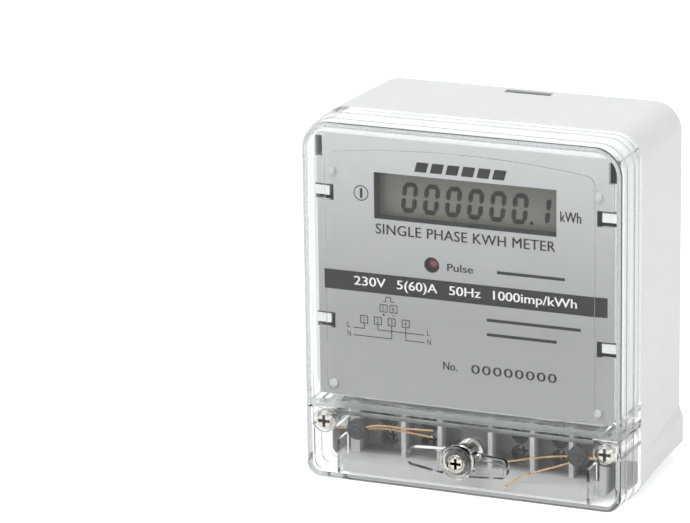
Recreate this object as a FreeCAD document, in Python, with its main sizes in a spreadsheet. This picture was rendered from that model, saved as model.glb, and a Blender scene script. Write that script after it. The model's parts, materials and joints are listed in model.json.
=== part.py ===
import FreeCAD, Part
import Sketcher
import math
import os
import re

# Single-phase DIN-rail electricity meter with a sealed clear register cover and a clear
# terminal cover that a winged screw holds on.
# X runs to the right, Y to the back, Z up.  The case stands on its bottom at z = 0.
# Depths are counted forwards from the flat back of the case and set negative in Y; the rail
# claws and wall pads stand behind it, at negative depths.  Every sub-part's Placement then
# moves the back so that the origin is the centre of the bounding box's bottom.

V = FreeCAD.Vector
doc = FreeCAD.newDocument("energy_meter")
sheet = doc.addObject("Spreadsheet::Sheet", "dims")

DIMENSIONS = {
    # case
    "width": 108, "height": 120, "case_depth": 62, "rear_stand": 4.6, "parting": 43,
    "wall": 2.2, "top_round": 9, "bottom_round": 5, "back_draft": 1.3,
    "skirt_low": 13.5, "skirt_high": 17, "cavity_back": 11.5,
    # DIN rail claws, latch and wall pads behind the flat back
    "rail_width": 35.5, "rail_middle": 62, "claw_gap": 1.4, "claw_lip": 1.6, "claw_high": 7,
    "claw_half": 6, "claw_x": 26, "pad_radius": 3.4, "pad_x": 42, "pad_z": 104,
    "latch_half": 8.5, "latch_back": -3.6, "latch_front": -1.3, "latch_grip": 1.5,
    "latch_tail": 4.6, "latch_play": 0.2, "guide_half": 11.5, "guide_low": 10.8, "lug_low": 12,
    "lug_top": 14, "window_high": 30,
    "spring_radius": 0.85, "spring_wire": 0.2, "spring_pitch": 1.6,
    # slot in the top and the sliding wall hanger in it
    "slot_length": 15.8, "slot_front": 6.2, "slot_back": 2.3, "slot_x": 2.4,
    "hanger_play": 0.3, "hanger_long": 26, "hanger_top": 118.2, "hanger_hole": 2.3,
    # wall screws in the lower corners, and the window for the bus bars
    "wall_screw_x": 48.6, "wall_screw_z": 7.2, "wall_screw_radius": 2.2, "corner_pocket": 20,
    "bar_window_half": 34, "bar_window_back": 16, "bar_window_front": 25,
    "post_x": 43, "post_z_low": 37, "post_z_top": 107, "post_radius": 3.2, "post_bore": 0.98,
    # clear covers
    "clear_wall": 1.9, "front_inset": 0.7, "step_inset": 0.35, "step_one": 49.6, "step_two": 55.7,
    "edge_round": 1.6, "seam_top": 25.2, "seam_low": 24.4,
    "cover_bottom": 0.5, "window_half": 45, "window_low": 31, "window_top": 110,
    "window_rise": 3.1, "window_proud": 0.6, "pane_round": 3.5,
    # screws that hold the register cover
    "screw_x": 47.6, "screw_z": 19.3, "ear_radius": 4.0, "ear_front": 58.6, "ear_play": 0.25,
    "head_radius": 3.3, "head_deep": 2.4, "shank_radius": 1.5,
    "ear_web": 1.6, "rib_x": 42.4, "rib_thick": 0.9, "rib_top": 14,
    # register frame and nameplate
    "frame_half": 51.1, "frame_low": 27.6, "frame_top": 117.1, "frame_wall": 1.4,
    "frame_back": 43.2, "frame_round": 6.4, "flange": 1.2, "flange_in": 5.5,
    "plate_front": 56.4, "plate_thick": 0.5, "plate_half": 49.6,
    "plate_low": 28.2, "plate_top": 115,
    "display_left": -30.3, "display_right": 30.8, "display_low": 88.2, "display_top": 103.5,
    "bezel": 3.0, "glass_front": 51.2, "glass_thick": 2.4, "glass_rim": 1.6,
    "pulse_x": -10.9, "pulse_z": 74.8, "pulse_hole": 2.6, "pulse_radius": 2.4,
    "pin_x": 44.6, "pin_z_top": 102.8, "pin_z_low": 32.2, "pin_radius": 1.3,
    "notch_in": 47.8, "notch_out": 50.4, "notch_top": 113.8, "notch_low": 106.8,
    "snap_in": 44.0, "snap_upper": 95.5, "snap_lower": 53, "snap_half": 2.6, "snap_gap": 0.7,
    "snap_drop": 1.5,
    # circuit board
    "board_front": 46.6, "board_thick": 1.6, "board_half": 48, "board_low": 30, "board_top": 114,
    "board_round": 4, "board_hole": 1.25, "bar_half": 3, "bar_front": 20.6, "bar_back": 19.4,
    "bar_low": 12, "shunt_top": 46, "link_top": 34, "lead_radius": 0.6,
    # terminal block
    "block_half": 45.5, "block_back": 13, "block_front": 51.8, "block_top": 22.3, "block_low": 2.6,
    "divider": 1.5, "first_divider": 3.1, "first_divider_x": -41.3, "cell_floor": 7.6,
    "sill_front": 57.6, "sill_edge": 6.2, "cell_back": 38,
    "face_front": 44, "driver_radius": 3.0,
    "cell_one": 14.4, "cell_two": 11.0, "cell_post": 15.7, "cell_three": 12.7, "cell_four": 11.6,
    "cell_pulse": 8.8,
    "clamp_half": 4.7, "clamp_back": 24, "clamp_low": 7.7, "clamp_top": 20, "cable_radius": 4.0,
    "sill_half": 41.6, "cable_top": 18,
    "cable_depth": 31, "clamp_screw_radius": 2.0, "clamp_head_radius": 2.8, "clamp_head": 2.4,
    "clamp_screw_low": 10.7, "clamp_screw_high": 17,
    "pulse_half": 1.9, "pulse_offset": 2.15, "pulse_bore": 1.1, "pulse_screw_radius": 1.0,
    "pulse_head_radius": 1.7,
    "clamp_x_one": -31, "clamp_x_two": -16.8, "clamp_x_three": 13.95, "clamp_x_four": 27.6,
    # winged knob
    "knob_z": 12.6, "hub_radius": 5.5, "neck_radius": 4.25, "neck_play": 0.25, "knob_front": 66,
    "wing_back": 62.6, "wing_thick": 2.8, "wing_rim": 1.1, "wing_half": 17,
    "wing_root": 4.1, "wing_tip": 2.7, "knob_head_radius": 2.95, "knob_head_deep": 2.2,
    "neck_back": 52.1, "post_half": 5.2, "post_front": 46, "knob_lean": 2,
    "thread_radius": 1.9, "washer_thick": 0.8, "washer_radius": 5.2, "insert_radius": 3.0,
    "insert_long": 8,
    # seals and their wires
    "seal_radius": 3.4, "seal_thick": 3.0, "seal_x": 37.6, "seal_z": 16.5, "seal_front": 56.6,
    "wire_radius": 0.38,
}
for row_number, (alias, number) in enumerate(DIMENSIONS.items(), start=1):
    sheet.set("A%d" % row_number, alias)
    sheet.set("B%d" % row_number, str(number))
    sheet.setAlias("B%d" % row_number, alias)
doc.recompute()

WORD = re.compile(r"[a-z][a-z_]*")
SUBPARTS = []
SIDES = (("_left", "-"), ("_right", ""))


def bound(text):
    """The expression with every dimension's name pointed at the sheet."""
    return WORD.sub(lambda m: "dims." + m.group() if m.group() in DIMENSIONS else m.group(),
                    str(text))


def value(text):
    """The number that an expression of the sheet's dimensions gives."""
    return float(sheet.evalExpression(bound(text)))


def bind(item, prop, text):
    """Bind one property of an object to an expression of the sheet's dimensions."""
    item.setExpression(prop, bound(text))


def place(item, x="0", y="0", z="0"):
    """Bind the corner or centre of a primitive; y is the depth in front of the back."""
    bind(item, "Placement.Base.x", x)
    bind(item, "Placement.Base.y", "-(%s)" % y)
    bind(item, "Placement.Base.z", z)


def box(name, left, right, front, back, low, high):
    """A block between two X, two depths (front is the larger) and two Z."""
    item = doc.addObject("Part::Box", name)
    bind(item, "Length", "(%s) - (%s)" % (right, left))
    bind(item, "Width", "(%s) - (%s)" % (front, back))
    bind(item, "Height", "(%s) - (%s)" % (high, low))
    place(item, left, front, low)
    return item


def turn_to(item, axis):
    """Lay a primitive's own Z along the axis named."""
    turns = {"x": FreeCAD.Rotation(V(0, 1, 0), 90), "y": FreeCAD.Rotation(V(1, 0, 0), 90),
             "z": FreeCAD.Rotation()}
    item.Placement = FreeCAD.Placement(V(), turns[axis])


def rod(name, axis, x, y, z, radius, length):
    """A cylinder from a point: to +X, to the front, or up."""
    item = doc.addObject("Part::Cylinder", name)
    turn_to(item, axis)
    bind(item, "Radius", radius)
    bind(item, "Height", length)
    place(item, x, y, z)
    return item


def cone(name, axis, x, y, z, start, end, length):
    """A cone from a point: to +X, to the front, or up."""
    item = doc.addObject("Part::Cone", name)
    turn_to(item, axis)
    bind(item, "Radius1", start)
    bind(item, "Radius2", end)
    bind(item, "Height", length)
    place(item, x, y, z)
    return item


def fuse(name, items):
    """One solid of several."""
    item = doc.addObject("Part::MultiFuse", name)
    item.Shapes = items
    item.Refine = True
    return item


def cut(name, base, tools):
    """One solid with others taken out of it."""
    tool = tools[0] if len(tools) == 1 else fuse(name + "_tools", tools)
    item = doc.addObject("Part::Cut", name)
    item.Base = base
    item.Tool = tool
    item.Refine = True
    return item


def group(name, items):
    """Separate solids that share a sub-part."""
    item = doc.addObject("Part::Compound", name)
    item.Links = items
    return item


def edges_where(shape, test):
    """The numbers of the edges whose middle point and direction pass a test."""
    found = []
    for number, edge in enumerate(shape.Edges, start=1):
        half_way = (edge.FirstParameter + edge.LastParameter) / 2
        if test(edge.valueAt(half_way), edge.tangentAt(half_way), edge):
            found.append(number)
    return found


def rounded(name, base, radius, test):
    """A Part fillet on the edges that pass a test."""
    doc.recompute()
    item = doc.addObject("Part::Fillet", name)
    item.Base = base
    item.Edges = [(n, value(radius), value(radius)) for n in edges_where(base.Shape, test)]
    return item


def keep(item, label):
    """Name a finished sub-part and centre the whole depth, from pads to knob, on Y = 0."""
    item.Label = label
    middle = value("(knob_front - rear_stand) / 2")
    item.Placement = FreeCAD.Placement(V(0, middle, 0), FreeCAD.Rotation())
    SUBPARTS.append(item)
    return item


def new_body(name):
    """An empty PartDesign body."""
    return doc.addObject("PartDesign::Body", name)


def sketch(body, name, role, offset="0"):
    """A sketch on one of the body's own planes, moved along the plane's normal."""
    item = body.newObject("Sketcher::SketchObject", name)
    plane = [feature for feature in body.Origin.OriginFeatures if feature.Role == role][0]
    item.AttachmentSupport = [(plane, "")]
    item.MapMode = "FlatFace"
    bind(item, "AttachmentOffset.Base.z", offset)
    return item


def pin_point(item, geometry, end, across, up):
    """Hold one sketch point at bound distances from the sketch's origin."""
    item.addConstraint(Sketcher.Constraint("DistanceX", -1, 1, geometry, end, value(across)))
    bind(item, "Constraints[%d]" % (item.ConstraintCount - 1), across)
    item.addConstraint(Sketcher.Constraint("DistanceY", -1, 1, geometry, end, value(up)))
    bind(item, "Constraints[%d]" % (item.ConstraintCount - 1), up)


def outline(item, points):
    """A closed polygon whose corners are bound to the sheet."""
    spots = [V(value(across), value(up), 0) for across, up in points]
    for number, spot in enumerate(spots):
        item.addGeometry(Part.LineSegment(spot, spots[(number + 1) % len(spots)]), False)
    first = item.GeometryCount - len(spots)
    for number, (across, up) in enumerate(points):
        pin_point(item, first + number, 1, across, up)
        pin_point(item, first + number, 2, *points[(number + 1) % len(points)])


def rectangle(item, left, right, low, high):
    """An upright rectangle bound to the sheet."""
    outline(item, [(left, low), (right, low), (right, high), (left, high)])


def circle(item, across, up, radius):
    """A circle whose centre and radius are bound to the sheet."""
    item.addGeometry(Part.Circle(V(value(across), value(up), 0), V(0, 0, 1), value(radius)), False)
    number = item.GeometryCount - 1
    pin_point(item, number, 3, across, up)
    item.addConstraint(Sketcher.Constraint("Radius", number, value(radius)))
    bind(item, "Constraints[%d]" % (item.ConstraintCount - 1), radius)


def pad(body, profile, length, reverse=False):
    """Add the profile's length of material; XZ sketches grow forwards unless reversed."""
    item = body.newObject("PartDesign::Pad", profile.Name + "_pad")
    item.Profile = profile
    item.Reversed = reverse
    bind(item, "Length", length)
    return item


def pocket(body, profile, length, reverse=False):
    """Take away the profile's length; XZ sketches cut backwards unless reversed."""
    item = body.newObject("PartDesign::Pocket", profile.Name + "_pocket")
    item.Profile = profile
    item.Reversed = reverse
    bind(item, "Length", length)
    return item


def dress(body, kind, base, size, test):
    """A PartDesign fillet or chamfer on the edges that pass a test."""
    doc.recompute()
    item = body.newObject("PartDesign::" + kind, "%s_%s" % (body.Name, kind.lower()))
    item.Base = (base, ["Edge%d" % n for n in edges_where(base.Shape, test)])
    bind(item, "Radius" if kind == "Fillet" else "Size", size)
    return item


def along_y(middle, direction, edge):
    """An edge that runs mainly from the back to the front."""
    return abs(direction.y) > 0.9


def case_body():
    """The white case's drafted shell, skirt, register cavity and terminal chamber."""
    body = new_body("case_body")
    shell = sketch(body, "case_outline", "XZ_Plane", "parting")
    rectangle(shell, "-width / 2", "width / 2", "0", "height")
    walls = pad(body, shell, "parting", reverse=True)
    walls.TaperAngle = -math.degrees(math.atan(value("back_draft / parting")))
    top = dress(body, "Fillet", walls, "top_round",
                lambda m, d, e: abs(d.y) > 0.9 and m.z > value("height / 2"))
    dress(body, "Fillet", top, "bottom_round",
          lambda m, d, e: abs(d.y) > 0.9 and m.z < value("bottom_round"))
    skirt = sketch(body, "case_skirt", "XZ_Plane", "parting")
    outline(skirt, [
        ("-width / 2", "bottom_round"), ("bottom_round - width / 2", "0"),
        ("width / 2 - bottom_round", "0"), ("width / 2", "bottom_round"),
        ("width / 2", "skirt_low"), ("width / 2 - back_draft", "skirt_high"),
        ("back_draft - width / 2", "skirt_high"), ("-width / 2", "skirt_low")])
    pad(body, skirt, "parting", reverse=True)
    cavity = sketch(body, "case_cavity", "XZ_Plane", "parting")
    rectangle(cavity, "2 * wall - width / 2", "width / 2 - 2 * wall", "seam_top + 3",
              "height - 2 * wall")
    pocket(body, cavity, "parting - cavity_back")
    chamber = sketch(body, "case_chamber", "XZ_Plane", "parting")
    rectangle(chamber, "-block_half - 0.1", "block_half + 0.1", "-1", "block_top + 0.1")
    pocket(body, chamber, "parting - block_back")
    return body


def board_corners():
    """The X and Z of the four posts that the circuit board is screwed to."""
    return [(x, z) for x in ("-post_x", "post_x") for z in ("post_z_low", "post_z_top")]


def latch_slide():
    """The latch's guide in the case, less the lug that its spring stands on."""
    guide = box("latch_guide", "-latch_half - latch_play", "latch_half + latch_play",
                "latch_front + latch_play", "latch_back - latch_play", "-1",
                "rail_middle - rail_width / 2 + 0.1")
    lug = box("spring_lug", "-2", "2", "latch_front + 1", "latch_back - 1", "lug_low", "lug_top")
    return cut("latch_guide_space", guide, [lug])


def rear_features():
    """What stands behind the flat back: two rail claws, the latch's guide and four pads."""
    rail_low = "rail_middle - rail_width / 2"
    rail_high = "rail_middle + rail_width / 2"
    parts = [box("guide_block", "-guide_half", "guide_half", "0.5", "-rear_stand", "guide_low",
                 rail_low + " - 0.8")]
    for tag, side in SIDES:
        left, right = side + "claw_x - claw_half", side + "claw_x + claw_half"
        parts.append(box("claw_root" + tag, left, right, "0.5", "-rear_stand", rail_high,
                         rail_high + " + claw_high"))
        parts.append(box("claw_lip" + tag, left, right, "-claw_gap", "-rear_stand",
                         rail_high + " - claw_lip", rail_high + " + 1"))
        parts.append(rod("pad_low" + tag, "y", side + "wall_screw_x", "-rear_stand",
                         "wall_screw_z", "pad_radius", "rear_stand + 0.5"))
        parts.append(rod("pad_top" + tag, "y", side + "pad_x", "-rear_stand", "pad_z",
                         "pad_radius", "rear_stand + 0.5"))
    return parts


def base_housing():
    """The case body with its rail claws, wall pads, top slot, latch guide, posts and holes."""
    spaces = [
        box("hanger_slot", "slot_x - slot_length / 2", "slot_x + slot_length / 2", "slot_front",
            "slot_back", "hanger_top - hanger_long", "height + 1"),
        latch_slide(),
        box("bar_window", "-bar_window_half", "bar_window_half", "bar_window_front",
            "bar_window_back", "block_top", "seam_top + 4"),
    ]
    for side in ("-", ""):
        tag = "left" if side else "right"
        spaces.append(rod("cover_screw_hole_" + tag, "y", side + "screw_x", "parting - 14",
                          "screw_z", "shank_radius + 0.03", "20"))
        spaces.append(box("corner_pocket_" + tag, side + "wall_screw_x - 2.6",
                          side + "wall_screw_x + 2.6", "parting + 1", "corner_pocket",
                          "wall_screw_z - 5", "wall_screw_z + 5"))
        spaces.append(rod("wall_screw_hole_" + tag, "y", side + "wall_screw_x",
                          "-rear_stand - 1", "wall_screw_z", "wall_screw_radius",
                          "corner_pocket + rear_stand + 2"))
    posts = rear_features()
    for number, (x, z) in enumerate(board_corners()):
        posts.append(rod("board_post%d" % number, "y", x, "cavity_back - 1", z, "post_radius",
                         "board_front - board_thick - cavity_back + 1"))
        spaces.append(rod("board_post_hole%d" % number, "y", x, "cavity_back + 10", z, "post_bore",
                          "40"))
    solid = fuse("case_with_posts", [case_body()] + posts)
    return keep(cut("base_housing_solid", solid, spaces), "base_housing")


def rounded_shell(name, inset, front, back, low, high, top_radius, low_radius):
    """A block set in from the case's sides, rounded about Y; a radius of 0 leaves a pair sharp."""
    block = box(name + "_block", "(%s) - width / 2" % inset, "width / 2 - (%s)" % inset, front,
                back, low, high)
    doc.recompute()
    middle = (value(low) + value(high)) / 2
    item = doc.addObject("Part::Fillet", name)
    item.Base = block
    chosen = []
    for number, edge in enumerate(block.Shape.Edges, start=1):
        spot = edge.valueAt((edge.FirstParameter + edge.LastParameter) / 2)
        radius = value(top_radius if spot.z > middle else low_radius)
        if abs(edge.tangentAt(edge.FirstParameter).y) > 0.9 and radius > 0:
            chosen.append((number, radius, radius))
    item.Edges = chosen
    return item


def stepped_cover(name, low, high, top_radius, low_radius):
    """The outer form of a clear cover: three steps that narrow towards the front."""
    parts = [
        rounded_shell(name + "_rear", "0", "step_one", "parting + 0.15", low, high, top_radius,
                      low_radius),
        rounded_shell(name + "_middle", "step_inset", "step_two", "step_one - 1", low,
                          high + " - step_inset" if top_radius != "0" else high, top_radius,
                      low_radius),
    ]
    front = rounded_shell(name + "_front", "front_inset", "case_depth - window_proud",
                          "step_two - 1", low,
                          high + " - front_inset" if top_radius != "0" else high, top_radius,
                          low_radius)
    doc.recompute()
    face = -value("case_depth - window_proud")
    soft = rounded(name + "_soft", front, "edge_round",
                   lambda m, d, e: abs(m.y - face) < 0.01 and outer_rim(m, low, high, top_radius))
    return fuse(name + "_form", parts + [soft])


def outer_rim(spot, low, high, top_radius):
    """Whether a front edge is on the case's outside rather than on the seam between covers."""
    seam = value(low) if top_radius != "0" else value(high)
    return abs(spot.z - seam) > 0.01


def window_pane():
    """The register cover's raised window: upright sides, and a bowed top and bottom."""
    body = new_body("window_body")
    profile = sketch(body, "window_outline", "XZ_Plane", "case_depth - window_proud - 0.4")
    half, low, top, rise = (value(n) for n in ("window_half", "window_low", "window_top",
                                               "window_rise"))
    corners = [V(-half, low, 0), V(half, low, 0), V(half, top, 0), V(-half, top, 0)]
    crown, sag = V(0, top + rise, 0), V(0, low - rise, 0)
    profile.addGeometry(Part.Arc(corners[0], sag, corners[1]), False)
    profile.addGeometry(Part.LineSegment(corners[1], corners[2]), False)
    profile.addGeometry(Part.Arc(corners[2], crown, corners[3]), False)
    profile.addGeometry(Part.LineSegment(corners[3], corners[0]), False)
    pane = pad(body, profile, "window_proud + 0.4")
    dress(body, "Fillet", pane, "pane_round", along_y)
    return body


def clear_cover():
    """The clear register cover: stepped shell, raised window and two screw ears below it."""
    form = stepped_cover("cover", "seam_top", "height", "top_round", "0")
    inside = rounded_shell("cover_inside", "front_inset + clear_wall",
                           "case_depth - window_proud - clear_wall", "0",
                           "seam_top + clear_wall", "height - front_inset - clear_wall",
                           "top_round - clear_wall", "0")
    shell = cut("cover_shell", fuse("cover_solid", [form, window_pane()]), [inside])
    ears = []
    holes = []
    for tag, side in SIDES:
        ears.append(rod("ear" + tag, "y", side + "screw_x", "parting + 0.15", "screw_z",
                        "ear_radius", "ear_front - parting - 0.15"))
        ears.append(box("ear_web" + tag, side + "screw_x - ear_web", side + "screw_x + ear_web",
                        "ear_front - 2", "parting + 0.15", "screw_z + 2", "seam_top + 1"))
        holes.append(rod("ear_seat" + tag, "y", side + "screw_x", "ear_front - head_deep",
                         "screw_z", "head_radius + 0.2", "10"))
        holes.append(rod("ear_way" + tag, "y", side + "screw_x", "parting - 1", "screw_z",
                         "shank_radius + 0.2", "30"))
    return keep(cut("cover_with_ears", fuse("cover_and_ears", [shell] + ears), holes),
                "clear_cover")


def terminal_cover():
    """The clear terminal cover: stepped shell, ear reliefs, ribs and the winged knob's hole."""
    form = stepped_cover("lid", "cover_bottom", "seam_low", "0", "bottom_round")
    inside = rounded_shell("lid_inside", "front_inset + clear_wall",
                           "case_depth - window_proud - clear_wall", "0",
                           "cover_bottom + clear_wall", "seam_low - clear_wall", "0",
                           "bottom_round - clear_wall")
    shell = cut("lid_shell", form, [inside])
    ribs = []
    holes = [rod("knob_hole", "y", "0", "parting", "knob_z", "neck_radius + neck_play", "30")]
    for tag, side in SIDES:
        ribs.append(box("lid_rib" + tag, side + "rib_x - rib_thick / 2",
                        side + "rib_x + rib_thick / 2", "case_depth - window_proud - 1",
                        "block_front + 0.4", "cover_bottom + 1", "rib_top"))
        holes.append(rod("ear_relief" + tag, "y", side + "screw_x", "parting - 1", "screw_z",
                         "ear_radius + ear_play", "ear_front + ear_play - parting + 1"))
        holes.append(box("web_relief" + tag, side + "screw_x - ear_radius - ear_play",
                         side + "screw_x + ear_radius + ear_play", "ear_front + ear_play",
                         "parting - 1", "screw_z", "height"))
    return keep(cut("lid_solid", fuse("lid_with_ribs", [shell] + ribs), holes), "terminal_cover")


def register_frame():
    """The white inner frame: walls round the register, a front flange and its snap slots."""
    back, front = "frame_back", "plate_front - plate_thick"
    inset = "width / 2 - frame_half"
    outer = rounded_shell("frame_outer", inset, front, back, "frame_low", "frame_top",
                          "frame_round", "frame_round")
    room = rounded_shell("frame_room", inset + " + frame_wall", front + " - flange", back + " - 1",
                         "frame_low + frame_wall", "frame_top - frame_wall",
                         "frame_round - frame_wall", "frame_round - frame_wall")
    opening = box("frame_opening", "flange_in - frame_half", "frame_half - flange_in", "case_depth",
                  back, "frame_low + flange_in", "frame_top - flange_in")
    pin_holes = [rod("frame_hole%d" % n, "y", x, "parting", z, "pin_radius * 0.6 + 0.05", "20")
                 for n, (x, z) in enumerate(plate_corners())]
    return keep(cut("frame_solid", outer, [room, opening] + pin_holes + snap_slots("frame", True)),
                "register_frame")


def snap_slots(name, tongues):
    """The slots at the register's edges; the frame keeps a snap tongue in each side slot."""
    slots = []
    for tag, side in SIDES:
        edges = ("-notch_out", "-notch_in") if side else ("notch_in", "notch_out")
        slots.append(box(name + "_notch" + tag, edges[0], edges[1], "case_depth", "parting",
                         "notch_low", "notch_top"))
        deep = ("-notch_out", "-snap_in") if side else ("snap_in", "notch_out")
        for level in ("snap_upper", "snap_lower"):
            slot = box(name + "_" + level + tag, deep[0], deep[1], "case_depth", "parting",
                       level + " - snap_half", level + " + snap_half")
            if not tongues:
                slots.append(slot)
                continue
            inner = ("-notch_out - 1", "-snap_in - snap_gap") if side else (
                "snap_in + snap_gap", "notch_out + 1")
            tongue = box(name + "_tongue_" + level + tag, inner[0], inner[1], "case_depth + 1",
                         "parting - 1", level + " - snap_half + snap_drop",
                         level + " + snap_half - snap_gap")
            slots.append(cut(name + "_gap_" + level + tag, slot, [tongue]))
    return slots


def nameplate():
    """The aluminium nameplate with its display window, pulse lamp hole and pin holes."""
    plate = box("plate", "-plate_half", "plate_half", "plate_front", "plate_front - plate_thick",
                "plate_low", "plate_top")
    window = box("plate_window", "display_left", "display_right", "case_depth", "parting",
                 "display_low", "display_top")
    lamp = rod("plate_lamp", "y", "pulse_x", "parting", "pulse_z", "pulse_hole", "20")
    holes = [rod("plate_hole%d" % n, "y", x, "parting", z, "pin_radius * 0.6 + 0.05", "20")
             for n, (x, z) in enumerate(plate_corners())]
    return keep(cut("plate_solid", plate, [window, lamp] + holes + snap_slots("plate", False)),
                "nameplate")


def plate_corners():
    """The X and Z of the four clear pins that hold the nameplate."""
    return [(x, z) for x in ("-pin_x", "pin_x") for z in ("pin_z_low", "pin_z_top")]


def nameplate_pins():
    """Four clear push pins with domed heads, through the nameplate into the display frame."""
    pins = []
    for number, (x, z) in enumerate(plate_corners()):
        head = rod("pin_head%d" % number, "y", x, "plate_front", z, "pin_radius", "0.9")
        stem = rod("pin_stem%d" % number, "y", x, "board_front + 1", z, "pin_radius * 0.6",
                   "plate_front - board_front")
        pins.append(fuse("pin%d" % number, [head, stem]))
    return keep(group("pins", pins), "nameplate_pins")


def lcd_holder():
    """The dark bezel box behind the nameplate that frames and holds the display glass."""
    outer = box("holder", "display_left - bezel", "display_right + bezel",
                "plate_front - plate_thick - 0.1", "board_front + 0.1", "display_low - bezel",
                "display_top + bezel")
    window = box("holder_window", "display_left", "display_right", "case_depth", "parting",
                 "display_low", "display_top")
    seat = box("holder_seat", "display_left - glass_rim - 0.1", "display_right + glass_rim + 0.1",
               "glass_front", "parting", "display_low - glass_rim - 0.1",
               "display_top + glass_rim + 0.1")
    return keep(cut("holder_solid", outer, [window, seat]), "lcd_holder")


def lcd_glass():
    """The display cell: a front glass over a longer rear glass."""
    front = box("glass_top", "display_left - glass_rim", "display_right + glass_rim", "glass_front",
                "glass_front - glass_thick / 2", "display_low - glass_rim + 1",
                "display_top + glass_rim - 1")
    rear = box("glass_rear", "display_left - glass_rim", "display_right + glass_rim",
               "glass_front - glass_thick / 2", "glass_front - glass_thick",
               "display_low - glass_rim", "display_top + glass_rim")
    return keep(fuse("glass_solid", [front, rear]), "lcd_glass")


def lcd_pins():
    """Two rows of display pins between the rear glass and the board."""
    pins = []
    for number in range(19):
        for tag, level in (("low", "display_low - 1"), ("top", "display_top + 0.6")):
            x = "display_left + 3 + 3 * %d" % number
            pins.append(box("lcd_pin_%s%d" % (tag, number), x, x + " + 0.5",
                            "glass_front - glass_thick", "board_front", level, level + " + 0.4"))
    return keep(group("lcd_pin_rows", pins), "lcd_pins")


def main_pcb():
    """The circuit board on the case's four posts, with relieved corners."""
    board = box("board", "-board_half", "board_half", "board_front", "board_front - board_thick",
                "board_low", "board_top")
    holes = [rod("board_hole%d" % n, "y", x, "parting", z, "board_hole",
                 "10")
             for n, (x, z) in enumerate(board_corners())]
    soft = rounded("board_soft", board, "board_round", along_y)
    return keep(cut("board_solid", soft, holes), "main_pcb")


def pan_screw(name, x, depth, z, radius, deep, shank, length):
    """A cross-head screw along Y: depth is its head's seat, and the shank goes back from it."""
    rim = rod(name + "_rim", "y", x, depth, z, radius, "(%s) / 2" % deep)
    dome = cone(name + "_dome", "y", x, "(%s) + (%s) / 2" % (depth, deep), z, radius,
                "0.65 * (%s)" % radius, "(%s) / 2" % deep)
    stem = rod(name + "_stem", "y", x, "(%s) - (%s)" % (depth, length), z, shank, length)
    top = "(%s) + (%s)" % (depth, deep)
    slots = []
    for tag, wide, high in (("flat", 0.62, 0.16), ("tall", 0.16, 0.62)):
        across, up = "%s * (%s)" % (wide, radius), "%s * (%s)" % (high, radius)
        slots.append(box(name + "_" + tag, "(%s) - %s" % (x, across), "(%s) + %s" % (x, across),
                         top + " + 1", "(%s) + 0.15 * (%s)" % (depth, deep),
                         "(%s) - %s" % (z, up), "(%s) + %s" % (z, up)))
    return cut(name, fuse(name + "_blank", [rim, dome, stem]), slots)


def pcb_screws():
    """The four screws that hold the board on the case's posts."""
    screws = [pan_screw("board_screw%d" % n, x, "board_front", z, "2.6", "1.6", "post_bore", "9")
              for n, (x, z) in enumerate(board_corners())]
    return keep(group("board_screws", screws), "pcb_screws")


def cover_screws():
    """The two sealed screws that hold the register cover by its ears."""
    screws = [pan_screw("cover_screw" + tag, side + "screw_x", "ear_front - head_deep + 0.4",
                        "screw_z", "head_radius", "head_deep", "shank_radius",
                        "ear_front - head_deep + 0.4 - parting + 12") for tag, side in SIDES]
    return keep(group("cover_screw_pair", screws), "cover_screws")


def chip(name, x, z, half_x, half_z, thick, leads, pitch):
    """A chip on the board's front: moulded body and two rows of gull-wing leads."""
    parts = [box(name + "_body", "%s - %s" % (x, half_x), "%s + %s" % (x, half_x),
                 "board_front + 0.15 + %s" % thick, "board_front + 0.15", "%s - %s" % (z, half_z),
                 "%s + %s" % (z, half_z))]
    for number in range(leads):
        left = "%s + %s - 0.2" % (x, (number - (leads - 1) / 2) * pitch)
        for tag, near, far in (("low", "- %s - 1.2" % half_z, "- %s + 0.1" % half_z),
                               ("top", "+ %s - 0.1" % half_z, "+ %s + 1.2" % half_z)):
            parts.append(box("%s_%s%d" % (name, tag, number), left, left + " + 0.4",
                             "board_front + 0.5", "board_front", z + " " + near, z + " " + far))
    return fuse(name, parts)


def board_front_parts():
    """The chips, crystal, isolators and pulse lamp on the board's front."""
    keep(group("metering", [chip("metering_body", "-22", "56", 7.7, 3.75, 2.3, 12, 1.27)]),
         "metering_chip")
    keep(group("controller", [chip("controller_body", "12", "58", 7, 7, 1.5, 16, 0.8)]),
         "microcontroller")
    keep(group("isolators", [chip("isolator%d" % n, str(26 + 8 * n), "38", 2.3, 3.3, 3.4, 2, 2.54)
                             for n in range(2)]), "optocouplers")
    can = box("crystal_can", "30", "41", "board_front + 3.5", "board_front", "56", "60.5")
    keep(rounded("crystal_soft", can, "1.9", along_y), "crystal")
    resistors = [rod("resistor%d" % n, "x", str(-38 + 12 * n), "board_front + 1.2", "70.5",
                     "1.1", "6") for n in range(2)]
    resistors += [rod("link_resistor%d" % n, "x", str(2 + 11 * n), "board_front + 1.2", "76",
                      "1.1", "6") for n in range(3)]
    keep(group("resistor_row", resistors), "resistors")
    lamp = rod("lamp_tube", "y", "pulse_x", "board_front", "pulse_z", "pulse_radius", "6")
    dome = doc.addObject("Part::Sphere", "lamp_dome")
    bind(dome, "Radius", "pulse_radius")
    place(dome, "pulse_x", "board_front + 6", "pulse_z")
    keep(fuse("lamp", [lamp, dome]), "pulse_led")


def board_back_parts():
    """The power parts on the board's back."""
    case = box("film_case", "-34", "-8", "board_front - board_thick", "board_front - 17", "88",
               "98")
    keep(group("film", [case]), "film_capacitor")
    cans = [rod("can%d" % n, "y", str(8 + 13 * n), "board_front - board_thick - 14", "94", "5",
                "14") for n in range(2)]
    keep(group("cans", cans), "electrolytic_capacitors")
    keep(group("varistor_disc", [rod("disc", "x", "31", "board_front - 11", "78", "7", "4.2")]),
         "varistor")


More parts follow.
